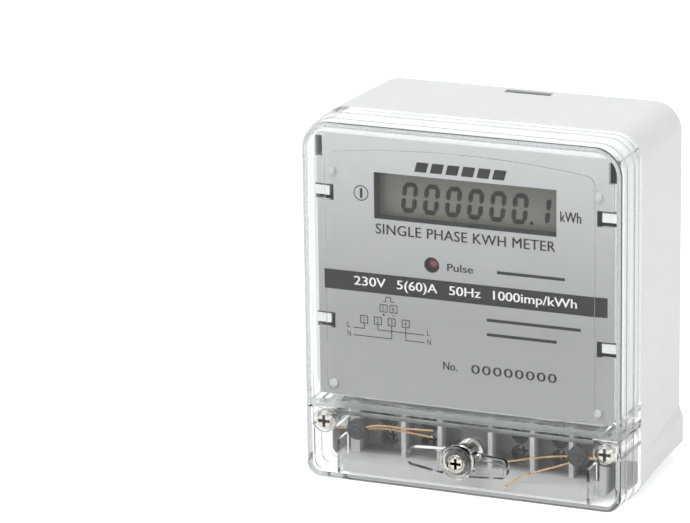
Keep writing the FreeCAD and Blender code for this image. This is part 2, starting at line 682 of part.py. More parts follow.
def bus_bar(name, x, high):
    """A copper bar from a clamp's back, up through the case's window to behind the board."""
    left, right = x + " - bar_half", x + " + bar_half"
    upright = box(name + "_upright", left, right, "bar_front", "bar_back", "bar_low", high)
    foot = box(name + "_foot", left, right, "clamp_back", "bar_back", "bar_low", "bar_low + 3")
    return fuse(name, [upright, foot])


def bus_bars():
    """The current shunt between the line terminals and the neutral link between the others."""
    left, right = "clamp_x_one", "clamp_x_two"
    shunt = [bus_bar("shunt_in", left, "shunt_top"), bus_bar("shunt_out", right, "shunt_top")]
    bridge = box("shunt_bridge", left + " + bar_half", right + " - bar_half", "bar_front - 0.2",
                 "bar_back + 0.2", "shunt_top - 8", "shunt_top")
    keep(fuse("shunt", shunt + [bridge]), "current_shunt")
    left, right = "clamp_x_three", "clamp_x_four"
    link = [bus_bar("neutral_in", left, "link_top"), bus_bar("neutral_out", right, "link_top")]
    bridge = box("neutral_bridge", left + " + bar_half", right + " - bar_half", "bar_front",
                 "bar_back", "link_top - 5.5", "link_top")
    keep(fuse("neutral", link + [bridge]), "neutral_link")


def sensing_leads():
    """The thin leads from the shunt and the neutral link forwards to the board's back."""
    ends = (("in", "clamp_x_one", "42"), ("out", "clamp_x_two", "42"),
            ("neutral", "clamp_x_three", "32"))
    leads = [rod("lead_" + tag, "y", x, "bar_front", z, "lead_radius",
                 "board_front - board_thick - bar_front") for tag, x, z in ends]
    return keep(group("leads", leads), "sensing_leads")


def clamps():
    """Each main clamp's number and the name of its X."""
    return list(enumerate(("clamp_x_one", "clamp_x_two", "clamp_x_three", "clamp_x_four"), start=1))


def pulse_clamps():
    """The two pulse clamps' names and X, side by side in the last cell."""
    middle = "(%s + cell_pulse / 2)" % cell_edges()[-1][0]
    return [("five", middle + " - pulse_offset"), ("six", middle + " + pulse_offset")]


def cell_edges():
    """The left and right X of every cell, worked out along the row of dividers."""
    edges = []
    left = "first_divider_x + first_divider"
    for width in ("cell_one", "cell_two", "cell_post", "cell_three", "cell_four", "cell_pulse"):
        right = "%s + %s" % (left, width)
        edges.append((left, right))
        left = right + " + divider"
    return edges


def terminal_block():
    """The light grey block: a row of open cells over a sill, with the knob's post in one."""
    sill = new_body("sill_body")
    profile = sketch(sill, "sill_profile", "YZ_Plane", "-sill_half")
    outline(profile, [("1 - block_front", "block_low"), ("1 - block_front", "cell_floor"),
                      ("-block_front", "cell_floor"), ("-sill_front", "sill_edge"),
                      ("-sill_front", "block_low")])
    pad(sill, profile, "2 * sill_half")
    parts = [box("block", "-block_half", "block_half", "block_front", "block_back", "block_low",
                 "block_top"), sill]
    spaces = [box("end_cell", "-block_half - 1", "first_divider_x", "case_depth", "face_front",
                  "cell_floor", "height")]
    for number, (left, right) in enumerate(cell_edges()):
        spaces.append(box("cell%d" % number, left, right, "case_depth", "face_front",
                          "cell_floor", "height"))
    for number, x in clamps():
        spaces.append(box("clamp_seat%d" % number, x + " - clamp_half - 0.05",
                          x + " + clamp_half + 0.05", "cell_back + 0.05", "clamp_back - 0.05",
                          "clamp_low - 0.1", "clamp_top + 0.05"))
        for level in ("clamp_screw_low", "clamp_screw_high"):
            spaces.append(rod("driver_%s%d" % (level, number), "y", x, "cell_back - 1", level,
                              "driver_radius", "20"))
        spaces.append(rod("cable_way%d" % number, "z", x, "cable_depth", "0",
                          "cable_radius + 0.5", "clamp_low"))
        spaces.append(box("bar_way%d" % number, x + " - bar_half - 0.1", x + " + bar_half + 0.1",
                          "clamp_back + 1", "bar_back - 0.1", "bar_low - 0.1", "height"))
    for name, x in pulse_clamps():
        spaces.append(box("pulse_seat_" + name, x + " - pulse_half - 0.05",
                          x + " + pulse_half + 0.05", "cell_back + 0.05", "cell_back - 8",
                          "clamp_low - 0.1", "clamp_screw_high + 0.1"))
        spaces.append(rod("pulse_driver_" + name, "y", x, "cell_back - 1", "clamp_screw_low",
                          "pulse_head_radius + 0.15", "20"))
        spaces.append(rod("pulse_way_" + name, "z", x, "cell_back - 4", "0", "pulse_bore + 0.3",
                          "clamp_low"))
    for tag, side in SIDES:
        spaces.append(rod("block_relief" + tag, "y", side + "screw_x", "parting", "screw_z",
                          "ear_radius + 0.15", "20"))
    hollowed = cut("block_hollowed", fuse("block_and_sill", parts), spaces)
    post = box("post", "-post_half", "post_half", "post_front", "cell_back - 1", "cell_floor - 1",
               "block_top")
    bore = rod("post_bore_hole", "y", "0", "post_front - insert_long", "knob_z", "insert_radius",
               "insert_long + 1")
    tip = rod("post_tip_hole", "y", "0", "post_front - insert_long - 6", "knob_z",
              "thread_radius + 0.2", "8")
    return keep(cut("block_with_post", fuse("block_and_post", [hollowed, post]), [bore, tip]),
                "terminal_block")


def terminal_clamp(number, x):
    """One brass clamp: cable bore from below, two screw holes from the front."""
    block = box("clamp_block%d" % number, x + " - clamp_half", x + " + clamp_half", "cell_back",
                "clamp_back", "clamp_low", "clamp_top")
    holes = [rod("clamp_cable%d" % number, "z", x, "cable_depth", "clamp_low - 1",
                 "cable_radius", "cable_top - clamp_low + 1")]
    for level in ("clamp_screw_low", "clamp_screw_high"):
        holes.append(rod("clamp_%s%d" % (level, number), "y", x, "cable_depth", level,
                         "clamp_screw_radius + 0.05", "10"))
    return keep(cut("clamp_solid%d" % number, block, holes), "terminal_clamp_%d" % number)


def clamp_screws(number, x):
    """A clamp's two screws, backed out clear of the cable bore."""
    for level, label in (("clamp_screw_low", "lower"), ("clamp_screw_high", "upper")):
        screw = pan_screw("screw_%s_%d" % (label, number), x, "cell_back + 0.3", level,
                          "clamp_head_radius", "clamp_head", "clamp_screw_radius", "2.9")
        keep(group("screw_group_%s_%d" % (label, number), [screw]),
             "terminal_screw_%d_%s" % (number, label))


def pulse_terminal(name, x):
    """One small brass pulse clamp and its screw."""
    block = box("pulse_block_" + name, x + " - pulse_half", x + " + pulse_half", "cell_back",
                "cell_back - 7.9", "clamp_low", "clamp_screw_high")
    holes = [rod("pulse_cable_" + name, "z", x, "cell_back - 4", "clamp_low - 1", "pulse_bore",
                 "8"),
             rod("pulse_screw_way_" + name, "y", x, "cell_back - 4", "clamp_screw_low",
                 "pulse_screw_radius + 0.05", "8")]
    keep(cut("pulse_solid_" + name, block, holes), "pulse_terminal_" + name)
    screw = pan_screw("pulse_screw_solid_" + name, x, "cell_back + 0.3", "clamp_screw_low",
                      "pulse_head_radius", "1.4", "pulse_screw_radius", "2.8")
    keep(group("pulse_screw_group_" + name, [screw]), "pulse_screw_" + name)


def terminals():
    """All the clamps with their screws."""
    for number, x in clamps():
        terminal_clamp(number, x)
        clamp_screws(number, x)
    for name, x in pulse_clamps():
        pulse_terminal(name, x)


def knob_insert():
    """The threaded brass insert in the block's post."""
    outer = rod("insert_outer", "y", "0", "post_front - insert_long", "knob_z", "insert_radius",
                "insert_long")
    bore = rod("insert_bore", "y", "0", "cell_back - 8", "knob_z", "thread_radius + 0.05", "30")
    return keep(cut("insert_solid", outer, [bore]), "knob_insert")


def knob_washer():
    """The washer between the terminal cover and the wings."""
    outer = rod("washer_outer", "y", "0", "case_depth - window_proud + 0.1", "knob_z",
                "washer_radius", "washer_thick")
    bore = rod("washer_bore", "y", "0", "parting", "knob_z", "neck_radius + neck_play", "30")
    return keep(cut("washer_solid", outer, [bore]), "knob_washer")


def wing_outline(item, side, near, half, root, tip):
    """One wing's outline, tapering from the hub's side to the tip."""
    inner, outer = "%s(%s)" % (side, near), "%s(%s)" % (side, half)
    outline(item, [(inner, "-(%s)" % root), (outer, "-(%s)" % tip), (outer, tip), (inner, root)])


def knob_neck():
    """The knob's clear neck, which passes through the terminal cover behind the hub."""
    outer = rod("neck_outer", "y", "0", "neck_back", "knob_z", "neck_radius",
                "wing_back - neck_back - 0.02")
    bore = rod("neck_bore", "y", "0", "neck_back - 1", "knob_z", "thread_radius + 0.02", "20")
    return keep(cut("neck_solid", outer, [bore]), "knob_neck")


def wing_knob():
    """The clear winged knob: a turned hub and two rimmed wings with thin webs."""
    body = new_body("knob_body")
    turned = sketch(body, "knob_profile", "YZ_Plane")
    outline(turned, [
        ("-wing_back", "thread_radius + 0.02"), ("-wing_back", "hub_radius"),
        ("0.8 - knob_front", "hub_radius"), ("-knob_front", "hub_radius - 0.8"),
        ("-knob_front", "knob_head_radius + 0.15"),
        ("knob_head_deep - knob_front", "knob_head_radius + 0.15"),
        ("knob_head_deep - knob_front", "thread_radius + 0.02")])
    spin = body.newObject("PartDesign::Revolution", "knob_turned")
    spin.Profile = turned
    spin.ReferenceAxis = (turned, ["H_Axis"])
    spin.Angle = 360
    wings = sketch(body, "knob_wings", "XZ_Plane", "wing_back")
    for side in ("-", ""):
        wing_outline(wings, side, "hub_radius - 1", "wing_half", "wing_root", "wing_tip")
    raised = pad(body, wings, "wing_thick")
    dress(body, "Fillet", raised, "wing_tip - 0.6",
          lambda m, d, e: abs(d.y) > 0.9 and abs(m.x) > value("wing_half - 1"))
    webs = sketch(body, "knob_webs", "XZ_Plane", "wing_back + wing_thick")
    for side in ("-", ""):
        wing_outline(webs, side, "hub_radius + 0.4", "wing_half - wing_rim",
                     "wing_root - wing_rim - 0.3", "wing_tip - wing_rim")
    pocket(body, webs, "1.2")
    body.Placement = FreeCAD.Placement(V(), FreeCAD.Rotation(V(0, 1, 0), value("knob_lean")))
    place(body, "0", "0", "knob_z")
    return keep(group("knob", [body]), "wing_knob")


def wing_screw():
    """The screw that the winged knob turns in the insert."""
    screw = pan_screw("wing_screw_solid", "0", "knob_front - knob_head_deep", "knob_z",
                      "knob_head_radius", "knob_head_deep", "thread_radius",
                      "knob_front - knob_head_deep - cell_back - 1")
    return keep(group("wing_screw_group", [screw]), "wing_screw")


def seals():
    """The two crimped seal discs at the ends of the terminal chamber."""
    for tag, side in SIDES:
        disc = rod("seal_disc" + tag, "y", side + "seal_x", "seal_front - seal_thick", "seal_z",
                   "seal_radius", "seal_thick")
        keep(rounded("seal_soft" + tag, disc, "0.9", lambda m, d, e: e.Closed), "seal" + tag)


# Each seal wire's route, as X, depth in front of the back and Z: out of the ear, through the
# seal and loose to its tip.
WIRE_ROUTES = {
    "seal_wire_left_upper": [(-44.6, 55.2, 16.4), (-37.5, 55.3, 16.6), (-30.5, 55.5, 19.0),
                             (-20.5, 55.2, 18.6), (-11.4, 55.0, 19.1)],
    "seal_wire_left_lower": [(-44.7, 54.0, 16.2), (-37.4, 54.4, 16.0), (-30.4, 54.3, 17.6),
                             (-21.0, 54.6, 17.4), (-11.7, 54.2, 16.4)],
    "seal_wire_right_upper": [(44.6, 55.0, 16.4), (37.6, 55.2, 16.5), (30.4, 55.3, 15.7),
                              (21.2, 55.0, 13.7), (12.7, 54.6, 11.3)],
    "seal_wire_right_lower": [(44.7, 54.0, 16.2), (37.8, 54.8, 15.3), (31.0, 56.0, 12.5),
                              (22.3, 57.6, 9.8), (17.0, 58.6, 6.9), (13.0, 58.6, 3.5)],
}


def corner_arc(before, corner, after):
    """The tangent arc at a route's corner, as large as 0.45 of the shorter run allows."""
    back, on = before - corner, after - corner
    reach = 0.45 * min(back.Length, on.Length)
    back.normalize()
    on.normalize()
    half_turn = (math.pi - back.getAngle(on)) / 2
    radius = reach / math.tan(half_turn)
    inward = (back + on).normalize()
    middle = corner + inward * (radius / math.cos(half_turn) - radius)
    return Part.Arc(corner + back * reach, middle, corner + on * reach), radius


def seal_wires():
    """The loose seal wires: straight runs joined by tangent arcs, swept as round tubes."""
    for label, route in WIRE_ROUTES.items():
        points = [V(x, -depth, z) for x, depth, z in route]
        edges = []
        radii = []
        start = points[0]
        for before, corner, after in zip(points, points[1:], points[2:]):
            arc, radius = corner_arc(before, corner, after)
            edges.append(Part.LineSegment(start, arc.StartPoint).toShape())
            edges.append(arc.toShape())
            radii.append(radius)
            start = arc.EndPoint
        edges.append(Part.LineSegment(start, points[-1]).toShape())
        path = Part.Wire(edges)
        ring = Part.Wire(Part.Circle(points[0], points[1] - points[0],
                                     value("wire_radius")).toShape())
        item = doc.addObject("Part::Feature", label)
        item.Shape = path.makePipeShell([ring], True, False)
        section = math.pi * value("wire_radius") ** 2
        print("%s radii %s, length %.1f mm, volume over section times length %.3f" % (
            label, " ".join("%.1f" % r for r in radii), path.Length,
            item.Shape.Volume / (section * path.Length)))
        keep(item, label)


def din_latch():
    """The sliding rail latch: plate, bevelled grip, window for its spring and a pull slot."""
    rail_low = "rail_middle - rail_width / 2"
    plate = box("latch_plate", "-latch_half", "latch_half", "latch_front", "latch_back",
                "latch_tail", rail_low + " + latch_grip")
    bevelled = rounded("latch_soft", plate, "0.8",
                       lambda m, d, e: abs(d.y) > 0.9 and m.z < value("latch_tail + 1"))
    window = box("latch_window", "-2.6", "2.6", "latch_front + 1", "latch_back - 1",
                 "lug_low - 0.6", "window_high")
    slot = box("latch_pull", "-3.5", "3.5", "latch_front + 1", "latch_back - 1",
               "latch_tail + 2", "latch_tail + 4.2")
    return keep(cut("latch_solid", bevelled, [window, slot]), "din_latch")


def latch_spring():
    """The small coil spring that holds the latch up, standing on the case's lug."""
    height = value("window_high - lug_top - 0.1")
    foot = V(0, -value("(latch_front + latch_back) / 2"), value("lug_top + spring_wire + 0.05"))
    helix = Part.makeHelix(value("spring_pitch"), height - 2 * value("spring_wire"),
                           value("spring_radius"))
    helix.translate(foot)
    ring = Part.Circle(foot + V(value("spring_radius"), 0, 0), V(0, 1, 0), value("spring_wire"))
    item = doc.addObject("Part::Feature", "latch_spring")
    item.Shape = Part.Wire(helix).makePipeShell([Part.Wire(ring.toShape())], True, True)
    return keep(item, "latch_spring")


def wall_hanger():
    """The sliding wall hanger in the top slot: a tab with a screw hole and a finger groove."""
    back, front = "slot_back + hanger_play", "slot_front - hanger_play"
    left, right = "slot_x - slot_length / 2 + hanger_play", "slot_x + slot_length / 2 - hanger_play"
    tab = box("hanger_tab", left, right, front, back, "hanger_top - hanger_long + hanger_play",
              "hanger_top")
    soft = rounded("hanger_soft", tab, "0.6",
                   lambda m, d, e: abs(d.y) > 0.9 and m.z > value("height / 2"))
    hole = rod("hanger_hole", "y", "slot_x", "-1", "hanger_top - 5", "hanger_hole", "20")
    groove = box("hanger_groove", "slot_x - 4", "slot_x + 4", "slot_front", front + " - 0.6",
                 "hanger_top - 1.8", "hanger_top - 0.9")
    return keep(cut("hanger_solid", soft, [hole, groove]), "wall_hanger")


def check_and_write():
    """Stop if anything failed, then write one STEP file for each sub-part."""
    doc.recompute()
    failed = [o.Name for o in doc.Objects if "Invalid" in o.State or "Error" in o.State]
    broken = [o.Label for o in SUBPARTS if o.Shape.isNull() or not o.Shape.isValid()]
    if failed or broken:
        raise RuntimeError("failed: %s, broken: %s" % (failed, broken))
    os.makedirs("parts", exist_ok=True)
    for item in SUBPARTS:
        item.Shape.exportStep("parts/%s.step" % item.Label)
        print("%-24s %9.1f mm3" % (item.Label, item.Shape.Volume))


MAKERS = (
    base_housing, clear_cover, cover_screws, register_frame, nameplate, nameplate_pins,
    lcd_holder, lcd_glass, lcd_pins, main_pcb, pcb_screws, board_front_parts, board_back_parts,
    bus_bars, sensing_leads, terminal_block, terminals, terminal_cover, knob_insert,
    knob_washer, knob_neck, wing_knob, wing_screw, seals, seal_wires, din_latch, latch_spring,
    wall_hanger)
for make in MAKERS:
    make()
check_and_write()
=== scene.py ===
import json
import math

import bmesh
import bpy
import numpy as np
from mathutils import Euler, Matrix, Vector


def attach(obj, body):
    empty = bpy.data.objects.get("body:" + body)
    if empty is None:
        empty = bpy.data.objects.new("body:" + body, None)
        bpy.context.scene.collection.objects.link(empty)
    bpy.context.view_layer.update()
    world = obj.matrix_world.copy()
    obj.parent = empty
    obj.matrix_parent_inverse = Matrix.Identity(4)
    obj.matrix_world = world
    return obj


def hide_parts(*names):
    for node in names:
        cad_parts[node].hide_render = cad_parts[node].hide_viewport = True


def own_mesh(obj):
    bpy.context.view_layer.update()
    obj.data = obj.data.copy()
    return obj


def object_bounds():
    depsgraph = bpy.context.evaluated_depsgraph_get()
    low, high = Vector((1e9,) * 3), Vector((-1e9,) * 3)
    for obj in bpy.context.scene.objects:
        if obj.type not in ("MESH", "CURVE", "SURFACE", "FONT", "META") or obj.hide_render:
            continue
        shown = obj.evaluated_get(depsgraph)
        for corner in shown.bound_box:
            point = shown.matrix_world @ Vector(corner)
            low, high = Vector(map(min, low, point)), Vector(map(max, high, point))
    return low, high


# Looks of a single-phase electricity meter: white case, clear register cover, clear terminal
# cover with a winged knob.  Metres, in the same frame as the CAD: the meter stands on z = 0 and
# its front faces -Y.

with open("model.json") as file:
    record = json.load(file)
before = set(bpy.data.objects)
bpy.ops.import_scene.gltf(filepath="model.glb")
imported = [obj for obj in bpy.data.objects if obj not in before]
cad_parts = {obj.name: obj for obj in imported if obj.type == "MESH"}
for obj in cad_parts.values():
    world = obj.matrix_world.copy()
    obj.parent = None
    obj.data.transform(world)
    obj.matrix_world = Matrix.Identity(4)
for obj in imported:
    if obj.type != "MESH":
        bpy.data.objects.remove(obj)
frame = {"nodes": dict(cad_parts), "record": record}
cad_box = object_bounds()
nodes = frame["nodes"]
scene = bpy.context.scene
MM = 0.001
BODY = "meter"
REAR_STAND = 4.6
BACK = cad_box[1][1] - REAR_STAND * MM


def at(x, depth, z):
    """A point from millimetres: X, depth in front of the flat back, and Z."""
    return Vector((x * MM, BACK - depth * MM, z * MM))


# ---------------------------------------------------------------- camera

CAMERA_PLACE = (0.4718, -1.2579, 0.4848)
CAMERA_TURN = (72.838, 0.820, 22.332)
CAMERA_LENS = 229.4


def make_camera():
    data = bpy.data.cameras.new("camera")
    data.sensor_width = 36
    data.lens = CAMERA_LENS
    data.clip_end = 20
    camera = bpy.data.objects.new("camera", data)
    camera.location = CAMERA_PLACE
    camera.rotation_euler = Euler([math.radians(a) for a in CAMERA_TURN])
    scene.collection.objects.link(camera)
    scene.camera = camera


make_camera()
scene.view_settings.view_transform = "Standard"


# ---------------------------------------------------------------- seal wires

WIRE_DIAMETER = 0.76
WIRE_STEP = 0.25
TWIST_PITCH = 2.6
WIRE_ROUTES = {
    "seal_wire_left_upper": [(-44.6, 55.2, 16.4), (-37.5, 55.3, 16.6), (-30.5, 55.5, 19.0),
                             (-20.5, 55.2, 18.6), (-11.4, 55.0, 19.1)],
    "seal_wire_left_lower": [(-44.7, 54.0, 16.2), (-37.4, 54.4, 16.0), (-30.4, 54.3, 17.6),
                             (-21.0, 54.6, 17.4), (-11.7, 54.2, 16.4)],
    "seal_wire_right_upper": [(44.6, 55.0, 16.4), (37.6, 55.2, 16.5), (30.4, 55.3, 15.7),
                              (21.2, 55.0, 13.7), (12.7, 54.6, 11.3)],
    "seal_wire_right_lower": [(44.7, 54.0, 16.2), (37.8, 54.8, 15.3), (31.0, 56.0, 12.5),
                              (22.3, 57.6, 9.8), (17.0, 58.6, 6.9), (13.0, 58.6, 3.5)],
}


def mesh_of(helper):
    """The mesh that a curve or a line of text evaluates to."""
    bpy.context.view_layer.update()
    depsgraph = bpy.context.evaluated_depsgraph_get()
    return bpy.data.meshes.new_from_object(helper.evaluated_get(depsgraph))


def route_line(points):
    """The points along a route's smooth line, read from its NURBS spline."""
    curve = bpy.data.curves.new("route", "CURVE")
    curve.dimensions = "3D"
    curve.resolution_u = 24
    spline = curve.splines.new("NURBS")
    spline.points.add(len(points) - 1)
    for spot, point in zip(spline.points, points):
        spot.co = (*point, 1)
    spline.order_u = 3
    spline.use_endpoint_u = True
    helper = bpy.data.objects.new("route", curve)
    scene.collection.objects.link(helper)
    mesh = mesh_of(helper)
    line = [v.co.copy() for v in mesh.vertices]
    bpy.data.objects.remove(helper)
    bpy.data.curves.remove(curve)
    bpy.data.meshes.remove(mesh)
    if (line[0] - points[0]).length > (line[-1] - points[0]).length:
        line.reverse()
    return line


def resample(line, step):
    """Points spaced evenly along a line."""
    spots = np.array(line)
    reach = np.concatenate([[0], np.cumsum(np.linalg.norm(np.diff(spots, axis=0), axis=1))])
    count = max(2, int(reach[-1] / step))
    wanted = np.linspace(0, reach[-1], count + 1)
    return [Vector([np.interp(w, reach, spots[:, k]) for k in range(3)]) for w in wanted], reach[-1]


def frames_along(line):
    """A side and an up direction at every point, carried along without twist."""
    sides = []
    ups = []
    side = Vector((0, 0, 1))
    for number in range(len(line)):
        ahead = (line[min(number + 1, len(line) - 1)] - line[max(number - 1, 0)]).normalized()
        side = (side - ahead * side.dot(ahead)).normalized()
        sides.append(side.copy())
        ups.append(ahead.cross(side).normalized())
    return sides, ups


def tube(mesh, centres, sides, ups, radius, around=8):
    """A closed round tube through the centres, added to a bmesh."""
    rings = []
    for centre, side, up in zip(centres, sides, ups):
        ring = []
        for number in range(around):
            turn = 2 * math.pi * number / around
            away = math.cos(turn) * side + math.sin(turn) * up
            ring.append(mesh.verts.new(centre + radius * away))
        rings.append(ring)
    for near, far in zip(rings, rings[1:]):
        for number in range(around):
            on = (number + 1) % around
            mesh.faces.new((near[number], near[on], far[on], far[number]))
    mesh.faces.new(list(reversed(rings[0])))
    mesh.faces.new(rings[-1])


def finish_mesh(mesh, name, body=BODY, material=None, smooth=True):
    """Turns a bmesh into a piece that rides on a body."""
    bmesh.ops.recalc_face_normals(mesh, faces=mesh.faces)
    data = bpy.data.meshes.new(name)
    mesh.to_mesh(data)
    mesh.free()
    piece = bpy.data.objects.new(name, data)
    scene.collection.objects.link(piece)
    if smooth:
        data.shade_smooth()
    if material:
        data.materials.append(material)
    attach(piece, body)
    return piece


def twisted_wire(name, route, material):
    """Two fine copper strands twisted about the wire's line."""
    points = [at(*spot) for spot in route]
    line, length = resample(route_line(points), WIRE_STEP * MM)
    sides, ups = frames_along(line)
    strand = WIRE_DIAMETER * MM / 4
    mesh = bmesh.new()
    for phase in (0, math.pi):
        centres = []
        for number, spot in enumerate(line):
            turn = phase + 2 * math.pi * number * WIRE_STEP / TWIST_PITCH
            away = math.cos(turn) * sides[number] + math.sin(turn) * ups[number]
            centres.append(spot + strand * away)
        tube(mesh, centres, sides, ups, strand)
    piece = finish_mesh(mesh, name + "_strands", material=material)
    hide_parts(name)
    return piece


# ---------------------------------------------------------------- materials

def new_material(name):
    """A new node material, its nodes and its links."""
    material = bpy.data.materials.new(name)
    material.use_nodes = True
    return material, material.node_tree.nodes, material.node_tree.links


def shader_of(tree_nodes):
    """The Principled shader that a new node material starts with."""
    return [n for n in tree_nodes if n.type == "BSDF_PRINCIPLED"][0]


def object_place(tree_nodes, links, scale=(1, 1, 1)):
    """Object coordinates, stretched by a scale, in metres."""
    place = tree_nodes.new("ShaderNodeTexCoord")
    mapping = tree_nodes.new("ShaderNodeMapping")
    mapping.inputs["Scale"].default_value = scale
    links.new(place.outputs["Object"], mapping.inputs["Vector"])
    return mapping.outputs["Vector"]


def noise(tree_nodes, links, place, scale, detail=4, rough=0.6):
    """A noise texture at a scale in cells a metre."""
    texture = tree_nodes.new("ShaderNodeTexNoise")
    texture.inputs["Scale"].default_value = scale
    texture.inputs["Detail"].default_value = detail
    texture.inputs["Roughness"].default_value = rough
    links.new(place, texture.inputs["Vector"])
    return texture.outputs["Fac"]


def ramp(tree_nodes, links, factor, stops):
    """A colour ramp; each stop is a place and a colour or a grey."""
    item = tree_nodes.new("ShaderNodeValToRGB")
    elements = item.color_ramp.elements
    while len(elements) < len(stops):
        elements.new(0.5)
    for element, (where, colour) in zip(elements, stops):
        element.position = where
        element.color = (*colour, 1) if isinstance(colour, tuple) else (colour, colour, colour, 1)
    links.new(factor, item.inputs["Fac"])
    return item.outputs["Color"]


def bump(tree_nodes, links, height, shader, strength, distance):
    """A bump on a shader."""
    item = tree_nodes.new("ShaderNodeBump")
    item.inputs["Strength"].default_value = strength
    item.inputs["Distance"].default_value = distance
    links.new(height, item.inputs["Height"])
    links.new(item.outputs["Normal"], shader.inputs["Normal"])


def plastic(name, colour, rough, spread=0.02, grain=1800, grain_depth=0.00002, specular=0.5):
    """Moulded plastic: faint mottling, uneven gloss and a fine spark-eroded grain."""
    material, tree, links = new_material(name)
    shader = shader_of(tree)
    place = object_place(tree, links)
    dark = tuple(max(0, c - spread) for c in colour)
    light = tuple(min(1, c + spread) for c in colour)
    links.new(ramp(tree, links, noise(tree, links, place, 45), [(0.3, dark), (0.7, light)]),
              shader.inputs["Base Color"])
    gloss = [(0.3, rough - 0.05), (0.7, rough + 0.05)]
    links.new(ramp(tree, links, noise(tree, links, place, 160), gloss), shader.inputs["Roughness"])
    shader.inputs["Specular IOR Level"].default_value = specular
    bump(tree, links, noise(tree, links, place, grain, 2), shader, 0.25, grain_depth)
    return material


SCRATCH_DEPTH = 0.00001


def metal(name, colour, rough, spread=0.06, stretch=(1, 1, 1), scale=900):
    """Plated or machined metal: fine scratches along one direction and uneven tarnish."""
    material, tree, links = new_material(name)
    shader = shader_of(tree)
    shader.inputs["Metallic"].default_value = 1
    place = object_place(tree, links)
    grain_place = object_place(tree, links, stretch)
    dark = tuple(max(0, c - spread) for c in colour)
    links.new(ramp(tree, links, noise(tree, links, place, 260), [(0.3, dark), (0.7, colour)]),
              shader.inputs["Base Color"])
    gloss = [(0.3, rough - 0.06), (0.7, rough + 0.08)]
    links.new(ramp(tree, links, noise(tree, links, place, 700), gloss), shader.inputs["Roughness"])
    bump(tree, links, noise(tree, links, grain_place, scale, 3), shader, 0.3, SCRATCH_DEPTH)
    return material


CLEAR_TINT = (0.985, 0.992, 0.995)
CLEAR_SHADOW = (0.98, 0.985, 0.985)
CLEAR_ROUGH = 0.01
CLEAR_INDEX = 1.36
CLEAR_REFLECTION = 0.08
TRAPPED_AFTER = 5.5


def clear_plastic(name):
    """Clear plastic with slow moulding waves; shadow rays and long-trapped rays pass through."""
    material, tree, links = new_material(name)
    shader = shader_of(tree)
    shader.inputs["Base Color"].default_value = (*CLEAR_TINT, 1)
    shader.inputs["Transmission Weight"].default_value = 1
    shader.inputs["IOR"].default_value = CLEAR_INDEX
    shader.inputs["Specular IOR Level"].default_value = CLEAR_REFLECTION
    place = object_place(tree, links)
    gloss = [(0.35, CLEAR_ROUGH), (0.75, CLEAR_ROUGH + 0.03)]
    links.new(ramp(tree, links, noise(tree, links, place, 90), gloss), shader.inputs["Roughness"])
    bump(tree, links, noise(tree, links, place, 30, 1), shader, 0.08, 0.0001)
    clear = tree.new("ShaderNodeBsdfTransparent")
    clear.inputs["Color"].default_value = (*CLEAR_SHADOW, 1)
    path = tree.new("ShaderNodeLightPath")
    mix = tree.new("ShaderNodeMixShader")
    output = [n for n in tree if n.type == "OUTPUT_MATERIAL"][0]
    deep = tree.new("ShaderNodeMath")
    deep.operation = "GREATER_THAN"
    deep.inputs[1].default_value = TRAPPED_AFTER
    either = tree.new("ShaderNodeMath")
    either.operation = "MAXIMUM"
    links.new(path.outputs["Ray Depth"], deep.inputs[0])
    links.new(path.outputs["Is Shadow Ray"], either.inputs[0])
    links.new(deep.outputs[0], either.inputs[1])
    links.new(either.outputs[0], mix.inputs[0])
    links.new(shader.outputs[0], mix.inputs[1])
    links.new(clear.outputs[0], mix.inputs[2])
    links.new(mix.outputs[0], output.inputs["Surface"])
    return material


WHITE = plastic("white_abs", (0.63, 0.65, 0.645), 0.45, spread=0.01, specular=0.3)
FRAME_WHITE = plastic("frame_white", (0.74, 0.76, 0.765), 0.4)
BLOCK_LIGHT = (0.50, 0.505, 0.505)
# Painted shade for deep inside the terminal block's cells.
BLOCK_CELL_SHADE = (0.14, 0.141, 0.14)
CLEAR = clear_plastic("clear_cover")
CLEAR_PIN = plastic("clear_pin", (0.52, 0.54, 0.545), 0.2)
BEZEL = plastic("bezel_dark", (0.022, 0.025, 0.023), 0.5, specular=0.15)
CHIP = plastic("chip_black", (0.02, 0.02, 0.021), 0.5)
BOARD = plastic("board_green", (0.015, 0.11, 0.045), 0.3, spread=0.01, grain=2500)
FILM = plastic("film_blue", (0.04, 0.12, 0.32), 0.25)
SEAL = plastic("seal_grey", (0.035, 0.035, 0.038), 0.5, spread=0.02, specular=0.3)
LATCH = plastic("latch_grey", (0.2, 0.205, 0.205), 0.45)
HANGER = plastic("hanger_grey", (0.09, 0.092, 0.088), 0.5)
TIN = metal("tin", (0.74, 0.74, 0.72), 0.25)
COPPER = metal("copper", (0.78, 0.54, 0.34), 0.3, spread=0.2)
BRASS = metal("brass", (0.74, 0.55, 0.26), 0.28)
SCREW = metal("screw_steel", (0.74, 0.71, 0.65), 0.18, spread=0.2)
# The clamps' steel is a much darker copy of the screw steel: painted shade for their place deep in
# the block's cells.
SHADED_CLAMP_STEEL = metal("clamp_steel", (0.30, 0.29, 0.28), 0.35, spread=0.06)


def multiply_colour(tree, links, shader, painted_tone):
    """Multiplies what colours a shader by a tone."""
    colour = shader.inputs["Base Color"].links[0].from_socket
    mix = tree.new("ShaderNodeMix")
    mix.data_type = "RGBA"
    mix.blend_type = "MULTIPLY"
    mix.inputs["Factor"].default_value = 1
    links.new(colour, mix.inputs["A"])
    links.new(painted_tone, mix.inputs["B"])
    links.new(mix.outputs["Result"], shader.inputs["Base Color"])


def shade_recesses(material, reach):
    """Darkens a material's colour in narrow recesses such as a screw's cross."""
    tree, links = material.node_tree.nodes, material.node_tree.links
    nearness = tree.new("ShaderNodeAmbientOcclusion")
    nearness.only_local = True
    nearness.inputs["Distance"].default_value = reach
    painted_tone = ramp(tree, links, nearness.outputs["AO"], [(0.5, 0.01), (0.85, 1.0)])
    multiply_colour(tree, links, shader_of(tree), painted_tone)


